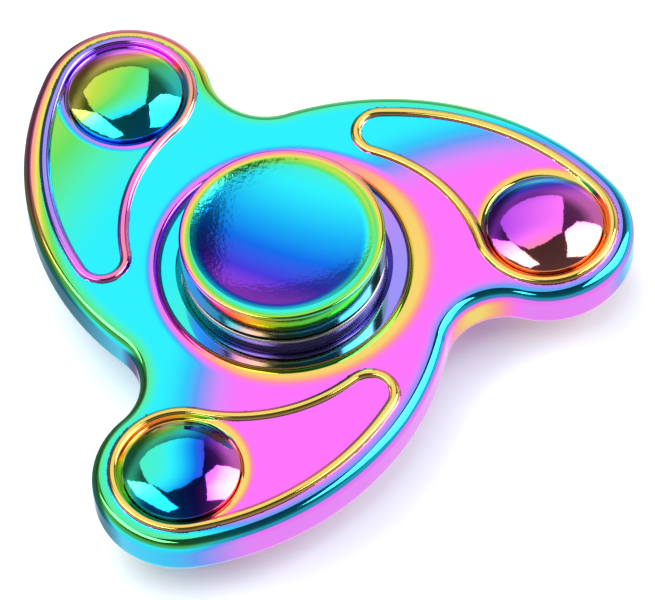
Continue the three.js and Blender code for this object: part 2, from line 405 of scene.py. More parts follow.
def body_outline():
    tip = polar(WEIGHT_DISTANCE, 0)
    flank = tip - polar(FLANK_RADIUS - TIP_RADIUS, FLANK_MEETS_TIP)
    next_flank = turned(flank, -TURN)
    notch = centre_left_of(tip, TIP_RADIUS + NOTCH_RADIUS, next_flank, FLANK_RADIUS + NOTCH_RADIUS)
    last_notch = turned(notch, TURN)
    arm = [
        Bow(flank, FLANK_RADIUS, heading(flank, last_notch), FLANK_MEETS_TIP),
        Bow(tip, TIP_RADIUS, FLANK_MEETS_TIP, heading(tip, notch)),
        Bow(notch, NOTCH_RADIUS, heading(notch, tip), heading(notch, next_flank), hollow=True),
    ]
    return [bow.rotated(-index * TURN) for index in range(ARMS) for bow in arm]


def rib_outline():
    tip = polar(WEIGHT_DISTANCE, 0)
    tail = polar(RIB_TAIL_DISTANCE, RIB_TAIL_ANGLE)
    outer = centre_left_of(
        tip, RIB_OUTER_RADIUS - RIB_TIP_RADIUS, tail, RIB_OUTER_RADIUS - RIB_TAIL_RADIUS
    )
    inner = centre_left_of(
        tip, RIB_INNER_RADIUS + RIB_TIP_RADIUS, tail, RIB_INNER_RADIUS + RIB_TAIL_RADIUS
    )
    return [
        Bow(outer, RIB_OUTER_RADIUS, heading(outer, tail), heading(outer, tip)),
        Bow(tip, RIB_TIP_RADIUS, heading(outer, tip), heading(tip, inner)),
        Bow(inner, RIB_INNER_RADIUS, heading(inner, tip), heading(inner, tail), hollow=True),
        Bow(tail, RIB_TAIL_RADIUS, heading(tail, inner), heading(outer, tail)),
    ]


OUTLINE = body_outline()
EDGE = [sample for bow in OUTLINE for sample in bow.sample(ALONG)]
RIB = rib_outline()
TIPS = circle((0, 0), WEIGHT_DISTANCE, ARMS)


def offset_points(samples, offset):
    """Plan points at an outward offset from outline samples, and their outward directions."""
    points, outs = [], []
    for centre, radius, angle, _, hollow in samples:
        side = -1 if hollow else 1
        out = np.array([math.cos(angle), math.sin(angle)])
        points.append(centre + out * (radius + side * offset))
        outs.append(side * out)
    return np.array(points), np.array(outs)


def nearest(bows, points):
    """Signed distance and its gradient from points to the nearest arc of a closed outline."""
    best = np.full(len(points), 1e9)
    gradient = np.zeros((len(points), 2))
    for bow in bows:
        distance, out, mine = bow.distance(points)
        closer = mine & (np.abs(distance) < np.abs(best))
        best[closer] = distance[closer]
        gradient[closer] = out[closer]
    return best, gradient


def rib_bump(points):
    """Height of the raised outlines over plan points, and its slope."""
    height = np.zeros(len(points))
    slope = np.zeros((len(points), 2))
    for index in range(ARMS):
        bows = [bow.rotated(index * TURN) for bow in RIB]
        distance, out = nearest(bows, points)
        t = np.minimum(np.abs(distance) / RIB_FOOT, 1)
        rise = RIB_HEIGHT * (1 - t**RIB_CROWN) ** 2
        fall = -2 * RIB_HEIGHT * (1 - t**RIB_CROWN) * RIB_CROWN * t ** (RIB_CROWN - 1) / RIB_FOOT
        height += rise
        slope += out * (fall * np.sign(distance))[:, None]
    return height, slope


# ---- body


def smooth(value, start, end):
    """Share that grows smoothly from 0 at start to 1 at end."""
    t = np.clip((value - start) / (end - start), 0, 1)
    return t * t * (3 - 2 * t)


def casting_phase_at(points):
    """Phase of the film over plan points of the body, as its material works it out."""
    away = np.hypot(*(points - FILM_CENTRE[:2]).T)
    return sum(low + (high - low) * smooth(away, start, end) for start, end, low, high in FILM_RINGS)


def rim_film(points, inset):
    """Change of the film's phase towards the rim, over points that lie inset from the outline."""
    away = np.hypot(*(points - FILM_CENTRE[:2]).T)
    far, near = (smooth(away, start, end) for start, end, _, _ in FILM_RINGS)
    dip = RIM_FILM + RIM_FILM_IN_RINGS[0] * (1 - far) + RIM_FILM_IN_RINGS[1] * near
    return dip * smooth(inset, *RIM_FILM_GROWS)


def wall_film(points, notch):
    """Change of the film's phase down on the side wall."""
    left = smooth(points[:, 0], *WALL_LEFT)
    right = smooth(points[:, 0], *WALL_RIGHT)
    phase = WALL_PHASE + NOTCH_FILM * notch + WALL_PHASE_LEFT * left + WALL_PHASE_RIGHT * right
    return phase - casting_phase_at(points)


def lower_right_share(points):
    """How far round towards the lower right plan points lie from the spin axis, 0 to 1."""
    return smooth(points @ LOWER_RIGHT / np.maximum(np.hypot(*points.T), 1), -1, 1)


def film_shift(points):
    """Change of the film's phase over the recess's floor."""
    floor = np.hypot(*points.T) < RECESS_RADIUS + PRESS_GAP
    return FLOOR_FILM * lower_right_share(points) * floor


def film_turn(points, height):
    """Share of the way to the film's other colour, on ribs and round the weights and recess."""
    share = smooth(height, 0, RIB_TURNS * RIB_HEIGHT)
    for tip in TIPS:
        share = np.maximum(share, smooth(np.hypot(*(points - tip).T), *SEAT_TURNS))
    reach = np.hypot(*points.T)
    lower_right = lower_right_share(points)
    start, end = (at + further * lower_right for at, further in zip(HUB_TURNS, HUB_TURNS_FURTHER))
    flared = smooth(reach - RECESS_RADIUS, start, end) * (reach > RECESS_RADIUS + PRESS_GAP)
    flared *= HUB_TURN_SHARE[0] + HUB_TURN_SHARE[1] * lower_right
    return np.maximum(share, flared)


def both_sides(skin, places, normals, faces, film=0):
    """Raises the ribs on a patch of upper surface, and adds it and its mirror image."""
    points = places[:, :2]
    height, slope = rib_bump(points)
    places = np.c_[points, places[:, 2] + height]
    tilted = np.c_[normals[:, :2] - normals[:, 2:] * slope, normals[:, 2]]
    tilted /= np.linalg.norm(tilted, axis=1)[:, None]
    film = film + film_shift(points)
    turn = film_turn(points, height)
    skin.patch(places, tilted, faces, film, turn)
    skin.patch(places * FLIP, tilted * FLIP, [face[::-1] for face in faces], film, turn)


def rim(skin):
    """The upper half of the side wall and the quarter-round edge from it up to the flat."""
    straight = FACE - RIM_RADIUS
    rows = [(0, straight * step / WALL_ROWS, 0) for step in range(WALL_ROWS)]
    for step in range(RIM_ROWS + 1):
        angle = math.pi / 2 * step / RIM_ROWS
        rows.append((RIM_RADIUS * (math.cos(angle) - 1), straight + RIM_RADIUS * math.sin(angle), angle))
    notch = np.array([hollow * math.sin(math.pi * share) for *_, share, hollow in EDGE])
    places, normals, films = [], [], []
    for offset, height, angle in rows:
        points, outs = offset_points(EDGE, offset)
        travel = RIM_RADIUS * (math.pi / 2 - angle) + max(0, straight - height)
        film = rim_film(points, -offset) * (1 - smooth(travel, *RIM_FILM_FADES))
        film += wall_film(points, notch) * smooth(travel, *WALL_PHASE_GROWS)
        places.append(np.c_[points, np.full(len(points), height)])
        normals.append(np.c_[outs * math.cos(angle), np.full(len(points), math.sin(angle))])
        films.append(film)
    faces = [face[::-1] for face in grid_faces(len(rows), len(EDGE))]
    both_sides(skin, np.concatenate(places), np.concatenate(normals), faces, np.concatenate(films))


def flare(inner, outer, low, high, steps):
    """Quarter of an ellipse that leaves the flat level at outer and is upright at inner."""
    made = []
    for step in range(steps + 1):
        angle = math.pi / 2 * (1 - step / steps)
        c, s = math.cos(angle), math.sin(angle)
        normal = Vector((-c / (outer - inner), s / (high - low))).normalized()
        made.append((inner + (outer - inner) * (1 - c), low + (high - low) * s, *normal))
    return made


def recess_profile():
    """Flare, step and floor of the recess, from the flat inwards and down to the bore."""
    floor = FACE - RECESS_DEPTH
    edge = RECESS_RADIUS - RECESS_FILLET
    bore = BEARING_RADIUS + PRESS_GAP
    return [
        flare(RECESS_RADIUS, RECESS_FLARE, floor + RECESS_FILLET, FACE, 2 * ROUND_ROWS),
        arc((edge, floor + RECESS_FILLET), RECESS_FILLET, 0, -90, ROUND_ROWS // 2, hollow=True),
        line((edge, floor), (bore + BORE_CHAMFER, floor)),
        line((bore + BORE_CHAMFER, floor), (bore, floor - BORE_CHAMFER)),
    ]


def round_hole(skin, profile, centre, steps):
    """The edge of a round hole at both faces, from its profile that runs inwards and down."""
    out = circle((0, 0), 1, steps)
    for stretch in profile:
        places, normals = [], []
        for r, z, nr, nz in stretch:
            places.append(np.c_[centre + out * r, np.full(steps, z)])
            normals.append(np.c_[out * nr, np.full(steps, nz)])
        faces = grid_faces(len(stretch), steps)
        both_sides(skin, np.concatenate(places), np.concatenate(normals), faces)


def flat_points(hub, seats):
    """Plan points between the loops that bound the flat: rows beside the loops and over the ribs."""
    plain = [offset_points(EDGE, -inset)[0] for inset in RIM_INSETS]
    plain += [hub * (1 + further / RECESS_FLARE) for further in HUB_ROWS]
    for tip, seat in zip(TIPS, seats):
        plain += [tip + (seat - tip) * (1 + further / SEAT_FLARE) for further in SEAT_ROWS]
    reach = WEIGHT_DISTANCE + TIP_RADIUS
    ticks = np.arange(-reach, reach, FILL)
    plain.append(np.stack(np.meshgrid(ticks, ticks), 2).reshape(-1, 2))
    plain = np.concatenate(plain)
    height, _ = rib_bump(plain)
    rows = [plain[height == 0]]
    for index in range(ARMS):
        along = [sample for bow in RIB for sample in bow.rotated(index * TURN).sample(ALONG)]
        for share in (*[-share for share in HALF_RIB_ROWS[::-1]], 0, *HALF_RIB_ROWS):
            rows.append(offset_points(along, share * RIB_FOOT)[0])
    points = np.concatenate(rows)
    return points[on_flat(points, RIM_RADIUS + APART, RECESS_FLARE + APART, SEAT_FLARE + APART)]


def on_flat(points, inset, hub_reach, seat_reach):
    """If plan points lie that far in from the outline, from the spin axis and from the weights."""
    distance, _ = nearest(OUTLINE, points)
    clear = inside_outline(points) & (distance < -inset) & (np.hypot(*points.T) > hub_reach)
    for tip in TIPS:
        clear &= np.hypot(*(points - tip).T) > seat_reach
    return clear


def top_face(skin):
    """The flat and its ribs, between the rim, the recess and the weights' seats."""
    edge, _ = offset_points(EDGE, -RIM_RADIUS)
    hub = circle((0, 0), RECESS_FLARE, HUB_STEPS)
    seats = [circle(tip, SEAT_FLARE, SEAT_STEPS) for tip in TIPS]
    loops = [edge, hub, *seats]
    points = [Vector(p) for p in np.concatenate([*loops, flat_points(hub, seats)])]
    edges = []
    first = 0
    for loop in loops:
        count = len(loop)
        edges += [(first + k, first + (k + 1) % count) for k in range(count)]
        first += count
    found, _, faces, _, _, _ = delaunay_2d_cdt(points, edges, [], 0, 1e-7)
    found = np.array([p[:] for p in found])
    faces = np.array([f for f in faces if len(f) == 3])
    # A face beside a round edge may have its middle within the circle, but not within its chords.
    hub_reach = RECESS_FLARE * math.cos(math.pi / HUB_STEPS)
    seat_reach = SEAT_FLARE * math.cos(math.pi / SEAT_STEPS)
    faces = faces[on_flat(found[faces].mean(1), RIM_RADIUS, hub_reach, seat_reach)]
    a, b, c = found[faces[:, 0]], found[faces[:, 1]], found[faces[:, 2]]
    ab, ac = b - a, c - a
    turned_over = ab[:, 0] * ac[:, 1] - ab[:, 1] * ac[:, 0] < 0
    faces[turned_over] = faces[turned_over][:, ::-1]
    places = np.c_[found, np.full(len(found), FACE)]
    normals = np.tile([0.0, 0.0, 1.0], (len(found), 1))
    distance, _ = nearest(OUTLINE, found)
    both_sides(skin, places, normals, faces.tolist(), rim_film(found, -distance))


def inside_outline(points):
    """If plan points lie within the body's outline, by counting crossings of a ray along +X."""
    corners, _ = offset_points(EDGE, 0)
    inside = np.zeros(len(points), bool)
    x, y = points.T
    for (x0, y0), (x1, y1) in zip(corners, np.roll(corners, -1, 0)):
        crosses = (y0 > y) != (y1 > y)
        behind = (x - x0) * (y1 - y0) < (y - y0) * (x1 - x0)
        inside ^= crosses & (behind == (y1 > y0))
    return inside


def spinner_body():
    skin = Skin()
    rim(skin)
    top_face(skin)
    round_hole(skin, recess_profile(), (0, 0), HUB_STEPS)
    bore = BEARING_RADIUS + PRESS_GAP
    chamfer_foot = FACE - RECESS_DEPTH - BORE_CHAMFER
    lathe(skin, [line((bore, chamfer_foot), (bore, -chamfer_foot))], steps=HUB_STEPS)
    hole = WEIGHT_RADIUS + PRESS_GAP
    lower = FACE - SEAT_DEPTH
    for tip in TIPS:
        round_hole(skin, [flare(hole, SEAT_FLARE, lower, FACE, 2 * ROUND_ROWS)], tip, SEAT_STEPS)
        lathe(skin, [line((hole, lower), (hole, -lower))], tip, SEAT_STEPS)
    return skin.object("spinner_casting")


# ---- turned pieces


def turned_piece(name, profile, side=1, **placing):
    skin = Skin()
    lathe(skin, profile if side > 0 else mirrored(profile), **placing)
    return skin.object(name)


def counterweight(index):
    """Slug with a shallow dome on each end and a rounded rim."""
    rise = WEIGHT_TOP - FACE - WEIGHT_RIM
    sphere = (WEIGHT_RADIUS**2 + rise**2) / (2 * rise)
    middle = WEIGHT_TOP - sphere
    # The rim's round touches both the dome and the side.
    rim_height = middle + math.sqrt((sphere - WEIGHT_EDGE) ** 2 - (WEIGHT_RADIUS - WEIGHT_EDGE) ** 2)
    meets = math.degrees(math.atan2(rim_height - middle, WEIGHT_RADIUS - WEIGHT_EDGE))
    upper = [
        arc((WEIGHT_RADIUS - WEIGHT_EDGE, rim_height), WEIGHT_EDGE, 0, meets, EDGE_ROWS),
        arc((0, middle), sphere, meets, 90, DOME_ROWS),
    ]
    side = line((WEIGHT_RADIUS, -rim_height), (WEIGHT_RADIUS, rim_height))
    profile = [*mirrored(upper), side, *upper]
    return turned_piece(f"counterweight_slug_{index + 1}", profile, centre=TIPS[index], steps=SEAT_STEPS)


def finger_cap(name, side):
    """Dished cap with a flat lip, a rounded edge, a skirt, and a stem that enters the bearing."""
    dish_centre = CAP_TOP + math.sqrt(DISH_CURVATURE**2 - DISH_RADIUS**2)
    # The dish's edge is rounded where it meets the lip.
    crease = CAP_TOP - DISH_EDGE_ROUND
    reach = math.sqrt((DISH_CURVATURE + DISH_EDGE_ROUND) ** 2 - (dish_centre - crease) ** 2)
    meets = math.degrees(math.atan2(dish_centre - crease, reach))
    stem = BEARING_BORE - PRESS_GAP
    foot = BEARING_HALF + PRESS_GAP
    top_edge = CAP_RADIUS - CAP_EDGE_ROUND
    bottom_edge = CAP_RADIUS - CAP_BOTTOM_ROUND
    stem_edge = stem - CAP_STEM_ROUND
    profile = [
        line((0, CAP_STEM_END), (stem_edge, CAP_STEM_END)),
        arc((stem_edge, CAP_STEM_END + CAP_STEM_ROUND), CAP_STEM_ROUND, -90, 0, SMALL_ROUND_ROWS),
        line((stem, CAP_STEM_END + CAP_STEM_ROUND), (stem, foot)),
        line((stem, foot), (CAP_BOSS_RADIUS, foot)),
        line((CAP_BOSS_RADIUS, foot), (CAP_BOSS_RADIUS, CAP_BOTTOM)),
        line((CAP_BOSS_RADIUS, CAP_BOTTOM), (bottom_edge, CAP_BOTTOM)),
        arc((bottom_edge, CAP_BOTTOM + CAP_BOTTOM_ROUND), CAP_BOTTOM_ROUND, -90, 0, CAP_BOTTOM_ROWS),
        line((CAP_RADIUS, CAP_BOTTOM + CAP_BOTTOM_ROUND), (CAP_RADIUS, CAP_TOP - CAP_EDGE_ROUND)),
        arc((top_edge, CAP_TOP - CAP_EDGE_ROUND), CAP_EDGE_ROUND, 0, 90, ROUND_ROWS),
        line((top_edge, CAP_TOP), (reach, CAP_TOP)),
        arc((reach, crease), DISH_EDGE_ROUND, 90, 180 - meets, EDGE_ROWS),
        arc((0, dish_centre), DISH_CURVATURE, -meets, -90, DISH_ROWS, hollow=True),
    ]
    skin = Skin()
    for stretch in profile:
        skin.material = int(stretch is profile[-1])
        lathe(skin, [stretch] if side > 0 else mirrored([stretch]), steps=CAP_STEPS, film=cap_film)
    return skin.object(name)


def cap_film(places):
    """Change of the film's phase between a cap's lip, its dish and its skirt."""
    reach, height = np.hypot(places[:, 0], places[:, 1]), np.abs(places[:, 2])
    dish = smooth(reach, DISH_RADIUS, DISH_RADIUS - CAP_DISH_FILM_WIDTH)
    dish *= height > CAP_BOTTOM + CAP_EDGE_ROUND
    dish_film = CAP_DISH_FILM - CAP_DISH_FRONT_FILM * places[:, 1]
    edge = smooth(reach, DISH_RADIUS + DISH_EDGE_ROUND, CAP_RADIUS - CAP_EDGE_ROUND / 2)
    skirt = smooth(height, CAP_TOP - CAP_EDGE_ROUND / 2, CAP_TOP - 2 * CAP_EDGE_ROUND) * (1 - dish)
    return dish_film * dish + CAP_EDGE_FILM * edge * (1 - skirt) + CAP_SKIRT_FILM * skirt


# ---- bearing


def rounded(corners, closed=False):
    """Stretches of a profile through corners, each given with the radius of its round."""
    places = [np.array(corner[:2], float) for corner in corners]
    count = len(places)
    sides = [places[(k + 1) % count] - places[k] for k in range(count)]
    sides = [side / math.hypot(*side) for side in sides]
    made, leaves = [], []
    for k in range(count):
        here, size = places[k], corners[k][2]
        before, after = sides[k - 1], sides[k]
        if size == 0 or (not closed and k in (0, count - 1)):
            leaves.append((here, here))
            made.append(None)
            continue
        turn = math.atan2(before[0] * after[1] - before[1] * after[0], before @ after)
        side = math.copysign(1, turn)
        trim = size * math.tan(abs(turn) / 2)
        centre = here - before * trim + side * size * np.array([-before[1], before[0]])
        first = math.degrees(math.atan2(-side * before[0], side * before[1]))
        made.append(arc(centre, size, first, first + math.degrees(turn), SMALL_ROUND_ROWS, side < 0))
        leaves.append((here - before * trim, here + after * trim))
    stretches = []
    for k in range(count):
        if made[k]:
            stretches.append(made[k])
        if closed or k < count - 1:
            stretches.append(line(leaves[k][1], leaves[(k + 1) % count][0]))
    return stretches


def outer_race():
    groove_edge = math.degrees(math.acos((OUTER_LAND - BALL_PITCH) / GROOVE_RADIUS))
    groove_height = GROOVE_RADIUS * math.sin(math.radians(groove_edge))
    ring_top = SEAT_HEIGHT + SHIELD_THICKNESS + 2 * PRESS_GAP
    groove_top = ring_top + RING_THICKNESS
    upper = rounded([
        (BEARING_RADIUS, 0, 0),
        (BEARING_RADIUS, BEARING_HALF, RACE_CHAMFER),
        (SEAT_RADIUS, BEARING_HALF, SHEET_ROUND),
        (SEAT_RADIUS, groove_top, SHEET_ROUND),
        (SEAT_RADIUS + RING_GROOVE, groove_top, 0),
        (SEAT_RADIUS + RING_GROOVE, ring_top, 0),
        (SEAT_RADIUS, ring_top, 0),
        (SEAT_RADIUS, SEAT_HEIGHT, 0),
        (OUTER_LAND, SEAT_HEIGHT, SHEET_ROUND),
        (OUTER_LAND, groove_height, 0),
    ])
    upper.append(arc((BALL_PITCH, 0), GROOVE_RADIUS, groove_edge, 0, ROUND_ROWS, hollow=True))
    return turned_piece("outer_raceway", upper + mirrored(upper))


def inner_race():
    groove_edge = math.degrees(math.acos((BALL_PITCH - INNER_LAND) / GROOVE_RADIUS))
    groove_height = GROOVE_RADIUS * math.sin(math.radians(groove_edge))
    upper = [arc((BALL_PITCH, 0), GROOVE_RADIUS, 180, 180 - groove_edge, ROUND_ROWS, hollow=True)]
    upper += rounded([
        (INNER_LAND, groove_height, 0),
        (INNER_LAND, BEARING_HALF, 2 * SHEET_ROUND),
        (BEARING_BORE, BEARING_HALF, RACE_CHAMFER),
        (BEARING_BORE, 0, 0),
    ])
    return turned_piece("inner_raceway", upper + mirrored(upper))


def steel_ball(index):
    profile = [arc((0, 0), BALL_RADIUS, -90, 90, DOME_ROWS)]
    centre = circle((0, 0), BALL_PITCH, BALLS)[index]
    return turned_piece(f"rolling_ball_{index + 1}", profile, centre=centre, steps=BALL_STEPS)


def dust_shield(name, side):
    """Pressed disc with a flat rim, dished a little between its rim and its inner lip."""
    bottom = SEAT_HEIGHT + PRESS_GAP
    top = bottom + SHIELD_THICKNESS
    outer = SEAT_RADIUS - PRESS_GAP
    profile = rounded([
        (SHIELD_INNER, bottom, SHEET_ROUND),
        (outer, bottom, SHEET_ROUND),
        (outer, top, SHEET_ROUND),
        (outer - 2 * RING_WIDTH, top, SHIELD_BEND),
        (outer - 3 * RING_WIDTH, top - SHIELD_DISH, SHIELD_BEND),
        (SHIELD_INNER + RING_WIDTH, top - SHIELD_DISH, SHIELD_BEND / 2),
        (SHIELD_INNER + RING_WIDTH / 2, top, 2 * SHEET_ROUND),
        (SHIELD_INNER, top, SHEET_ROUND),
    ], closed=True)
    return turned_piece(name, profile, side)


def retaining_ring(name, side):
    """Split ring that springs out into the groove above a shield."""
    outer = SEAT_RADIUS + RING_GROOVE - PRESS_GAP
    inner = outer - RING_WIDTH
    low = SEAT_HEIGHT + SHIELD_THICKNESS + 3 * PRESS_GAP
    high = low + RING_THICKNESS - 2 * PRESS_GAP
    corners = ((inner, low), (outer, low), (outer, high), (inner, high))
    profile = rounded([(*corner, SHEET_ROUND) for corner in corners], closed=True)
    profile = profile if side > 0 else mirrored(profile)
    skin = Skin()
    lathe(skin, profile, gap=RING_GAP)
    section = [(r, z) for stretch in profile for r, z, _, _ in stretch[:-1]]
    face = tuple(range(len(section)))
    for end in (1, -1):
        cos, sin = math.cos(RING_GAP / 2), end * math.sin(RING_GAP / 2)
        places = [(r * cos, r * sin, z) for r, z in section]
        normal = (end * sin, -end * cos, 0)
        skin.patch(places, [normal] * len(section), [face[::end]])
    return skin.object(name)


def either(a, b):
    """The higher of two heights, with a small fillet where they cross."""
    return (a + b + np.sqrt((a - b) ** 2 + CAGE_FILLET**2)) / 2


def cage_heights(points):
    """Lower and upper face of a pressed cage half: domes over the balls, rivets between them."""
    # Balls and rivets take turns round the ring.
    ring = circle((0, 0), BALL_PITCH, 2 * BALLS)
    away = np.linalg.norm(points[..., None, :] - ring, axis=-1)
    to_ball, to_rivet = away[..., ::2].min(-1), away[..., 1::2].min(-1)
    lower = either(CAGE_SPLIT, np.sqrt(np.maximum(CAGE_POCKET**2 - to_ball**2, 0)))
    upper = either(CAGE_SPLIT + CAGE_SHEET, np.sqrt(np.maximum(CAGE_TOP**2 - to_ball**2, 0)))
    head = np.sqrt(np.maximum(1 - (to_rivet / RIVET_RADIUS) ** 4, 0))
    return lower, upper + RIVET_HEIGHT * head


def cage_ribbon(name, side):
    """One pressed half of the cage, with its true slope taken from heights a small step away."""
    radii = np.linspace(CAGE_OUTER, CAGE_INNER, CAGE_ROWS)[:, None, None]
    ring = circle((0, 0), 1, CAGE_STEPS)
    plan = radii * ring
    faces = cage_heights(plan)
    east, north = cage_heights(plan + (SLOPE_STEP, 0)), cage_heights(plan + (0, SLOPE_STEP))
    sheets = []
    for face, to_east, to_north, up in zip(faces, east, north, (-1, 1)):
        slope = np.stack([face - to_east, face - to_north, np.full(face.shape, SLOPE_STEP)], 2)
        slope *= up / np.linalg.norm(slope, axis=2)[..., None]
        sheets.append((np.concatenate([plan, face[..., None]], 2), slope))
    (low, low_normals), (high, high_normals) = sheets
    out = np.c_[ring, np.zeros(CAGE_STEPS)]
    patches = [
        (high, high_normals),
        (low[::-1], low_normals[::-1]),
        (np.stack([low[0], high[0]]), np.stack([out, out])),
        (np.stack([high[-1], low[-1]]), np.stack([-out, -out])),
    ]
    skin = Skin()
    for places, normals in patches:
        if side < 0:
            places, normals = places[::-1] * FLIP, normals[::-1] * FLIP
        skin.grid(places, normals)
    return skin.object(name)


def fit(piece, body, node, slot, *materials):
    """Puts a piece on its body, in place of its CAD node, with its finish."""
    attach(piece, body)
    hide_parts(node)
    for material in materials:
        piece.data.materials.append(material)


def main_pieces():
    film = rainbow_film("film_on_casting", casting_phase, FILM_COLOURS)
    fit(spinner_body(), "spinner", "spinner_body", "rainbow_casting", film)
    film = rainbow_film("film_on_weight", weight_phase, DEEP_FILM_COLOURS, WEIGHT_TILT)
    for index in range(ARMS):
        fit(counterweight(index), "spinner", f"counterweight_{index + 1}", "rainbow_weight", film)
    names = ("film_on_cap", "film_on_dish")
    films = [rainbow_film(name, cap_phase, DEEP_FILM_COLOURS, CAP_TILT) for name in names]
    for label, side in SIDES:
        cap = finger_cap(f"{label}_thumb_cap", side)
        fit(cap, "finger_axle", f"{label}_finger_cap", "rainbow_cap", *films)


def bearing_pieces():
    race, lapped, pressed, sheet, spring = (steel(name) for name in STEELS)
    fit(outer_race(), "spinner", "bearing_outer_race", "bearing_steel", race)
    fit(inner_race(), "finger_axle", "bearing_inner_race", "bearing_steel", race)
    for index in range(BALLS):
        body = f"ball_{index + 1}"
        fit(steel_ball(index), body, f"bearing_{body}", "ball_steel", lapped)
    for label, side in SIDES:
        cage = cage_ribbon(f"{label}_cage_ribbon", side)
        fit(cage, "ball_cage", f"cage_{label}_half", "cage_steel", pressed)
        disc = dust_shield(f"{label}_dust_shield", side)
        fit(disc, "spinner", f"bearing_{label}_shield", "shield_steel", sheet)
        ring = retaining_ring(f"{label}_retaining_ring", side)
        fit(ring, "spinner", f"{label}_snap_ring", "spring_steel", spring)


# ---- materials

# Colours of the film as it gets thinner, round one full order, as a screen shows them
FILM_COLOURS = {
    0.00: (189, 226, 74),
    0.08: (102, 228, 105),
    0.16: (80, 243, 190),
    0.25: (47, 242, 254),
    0.36: (51, 200, 252),
    0.44: (100, 160, 250),
    0.52: (170, 145, 250),
    0.61: (226, 136, 252),
    0.70: (254, 118, 253),
    0.80: (255, 140, 185),
    0.88: (255, 180, 120),
    0.95: (246, 228, 110),
    1.00: (189, 226, 74),
}
DEEP_FILM_COLOURS = FILM_COLOURS | {
    0.36: (24, 176, 250),
    0.44: (20, 110, 238),
    0.52: (72, 60, 226),
    0.61: (176, 70, 236),
}

# Change of phase with the surface's tilt to the side, its tilt to the front, and that one cubed
WEIGHT_TILT = (0.13, 0, 2.6)
CAP_TILT = (0.3, 0.1, 0)
TILT_LIMITS = (-0.38, 0.16)

# Roughness of each rainbow surface, and the scale and height of its ripples
FILM_FINISHES = {
    "film_on_casting": (0.07, 500, 0.004),
    "film_on_weight": (0.06, 900, 0.012),
    "film_on_cap": (0.08, 900, 0.004),
    "film_on_dish": (0.17, 2000, 0.03),
}
RIPPLE_DETAIL = 2

# Colour of each steel, its roughness from low to high grain, the scale and height of the grain,
# and if it was turned, with its grain in rings round the spin axis
STEELS = {
    "ground_steel": ((0.4, 0.41, 0.43), (0.12, 0.3), 3500, 0.0015, True),
    "lapped_steel": ((0.62, 0.63, 0.65), (0.04, 0.14), 900, 0.0006, False),
    "pressed_steel": ((0.5, 0.42, 0.28), (0.22, 0.42), 1800, 0.004, False),
    "shield_sheet": ((0.33, 0.34, 0.36), (0.2, 0.38), 2600, 0.002, True),
    "spring_wire": ((0.24, 0.24, 0.26), (0.25, 0.4), 2200, 0.002, False),
}
GRAIN_DETAIL = 3
GRAIN_RANGE = (0.3, 0.7)
GRAIN_TONES = (0.82, 1.08)


def linear(colour):
    """Linear colour from the 0 to 255 values that a screen shows."""
    return [((c / 255 + 0.055) / 1.055) ** 2.4 if c > 10 else c / 255 / 12.92 for c in colour]


class Nodes:
    """Short ways to add nodes to a material or a world and join them up."""

    def __init__(self, owner, empty=False):
        owner.use_nodes = True
        self.tree = owner.node_tree
        if empty:
            self.tree.nodes.clear()
        else:
            self.shader = self.tree.nodes["Principled BSDF"]

    def add(self, kind, **settings):
        node = self.tree.nodes.new(kind)
        for key, value in settings.items():
            setattr(node, key, value)
        return node

    def put(self, value, target):
        if isinstance(value, bpy.types.NodeSocket):
            self.tree.links.new(value, target)
        else:
            target.default_value = value

    def give(self, node, values):
        for name, value in values.items():
            self.put(value, node.inputs[name])

    def math(self, operation, *values, kind="ShaderNodeMath"):
        node = self.add(kind, operation=operation)
        for value, target in zip(values, node.inputs):
            self.put(value, target)
        return node.outputs["Value"]

    def vector(self, operation, *vectors):
        """A number from vectors."""
        return self.math(operation, *vectors, kind="ShaderNodeVectorMath")

    def split(self, vector):
        node = self.add("ShaderNodeSeparateXYZ")
        self.put(vector, node.inputs[0])
        return node.outputs

    def smooth(self, value, start, end, low, high):
        node = self.add("ShaderNodeMapRange", interpolation_type="SMOOTHSTEP")
        for target, given in zip(node.inputs, (value, start, end, low, high)):
            self.put(given, target)
        return node.outputs[0]

    def ramp(self, value, stops):
        """Colour that changes evenly between stops, each a place from 0 to 1 and a colour."""
        node = self.add("ShaderNodeValToRGB")
        self.put(value, node.inputs[0])
        elements = node.color_ramp.elements
        while len(elements) < len(stops):
            elements.new(0.5)
        for element, (at, colour) in zip(elements, stops):
            element.position = at
            element.color = (*colour, 1)
        return node.outputs[0]

    def relief(self, place, scale, height, detail):
        """Noise that is also the shader's relief, as high as given in millimetres."""
        noise = self.add("ShaderNodeTexNoise")
        self.give(noise, {"Vector": place, "Scale": scale, "Detail": detail})
        bump = self.add("ShaderNodeBump")
        self.give(bump, {"Strength": 1, "Distance": height * MM, "Height": noise.outputs[0]})
        self.put(bump.outputs[0], self.shader.inputs["Normal"])
        return noise.outputs[0]


def casting_phase(nodes, place):
    """Phase of the film over the body, in its rings and along its line."""
    centre = [c * MM for c in FILM_CENTRE]
    away = nodes.math("DIVIDE", nodes.vector("DISTANCE", place, centre), MM)
    far, near = (nodes.smooth(away, *ring) for ring in FILM_RINGS)
    along = nodes.math("DIVIDE", nodes.vector("DOT_PRODUCT", place, TURNED_WAY), MM)
    return nodes.math("ADD", far, near), nodes.smooth(along, *TURNED_FILM)


def weight_phase(nodes, place):
    """Phase of the film over the counterweights: a little behind the body's."""
    phase, turned_phase = casting_phase(nodes, place)
    return nodes.math("SUBTRACT", phase, WEIGHT_FILM_LAG), turned_phase


def cap_phase(nodes, place):
    """Phase of the film over a cap, which changes from back to front."""
    phase = nodes.math("MULTIPLY_ADD", nodes.split(place)["Y"], CAP_FILM_TO_BACK / MM, CAP_FILM)
    return phase, phase


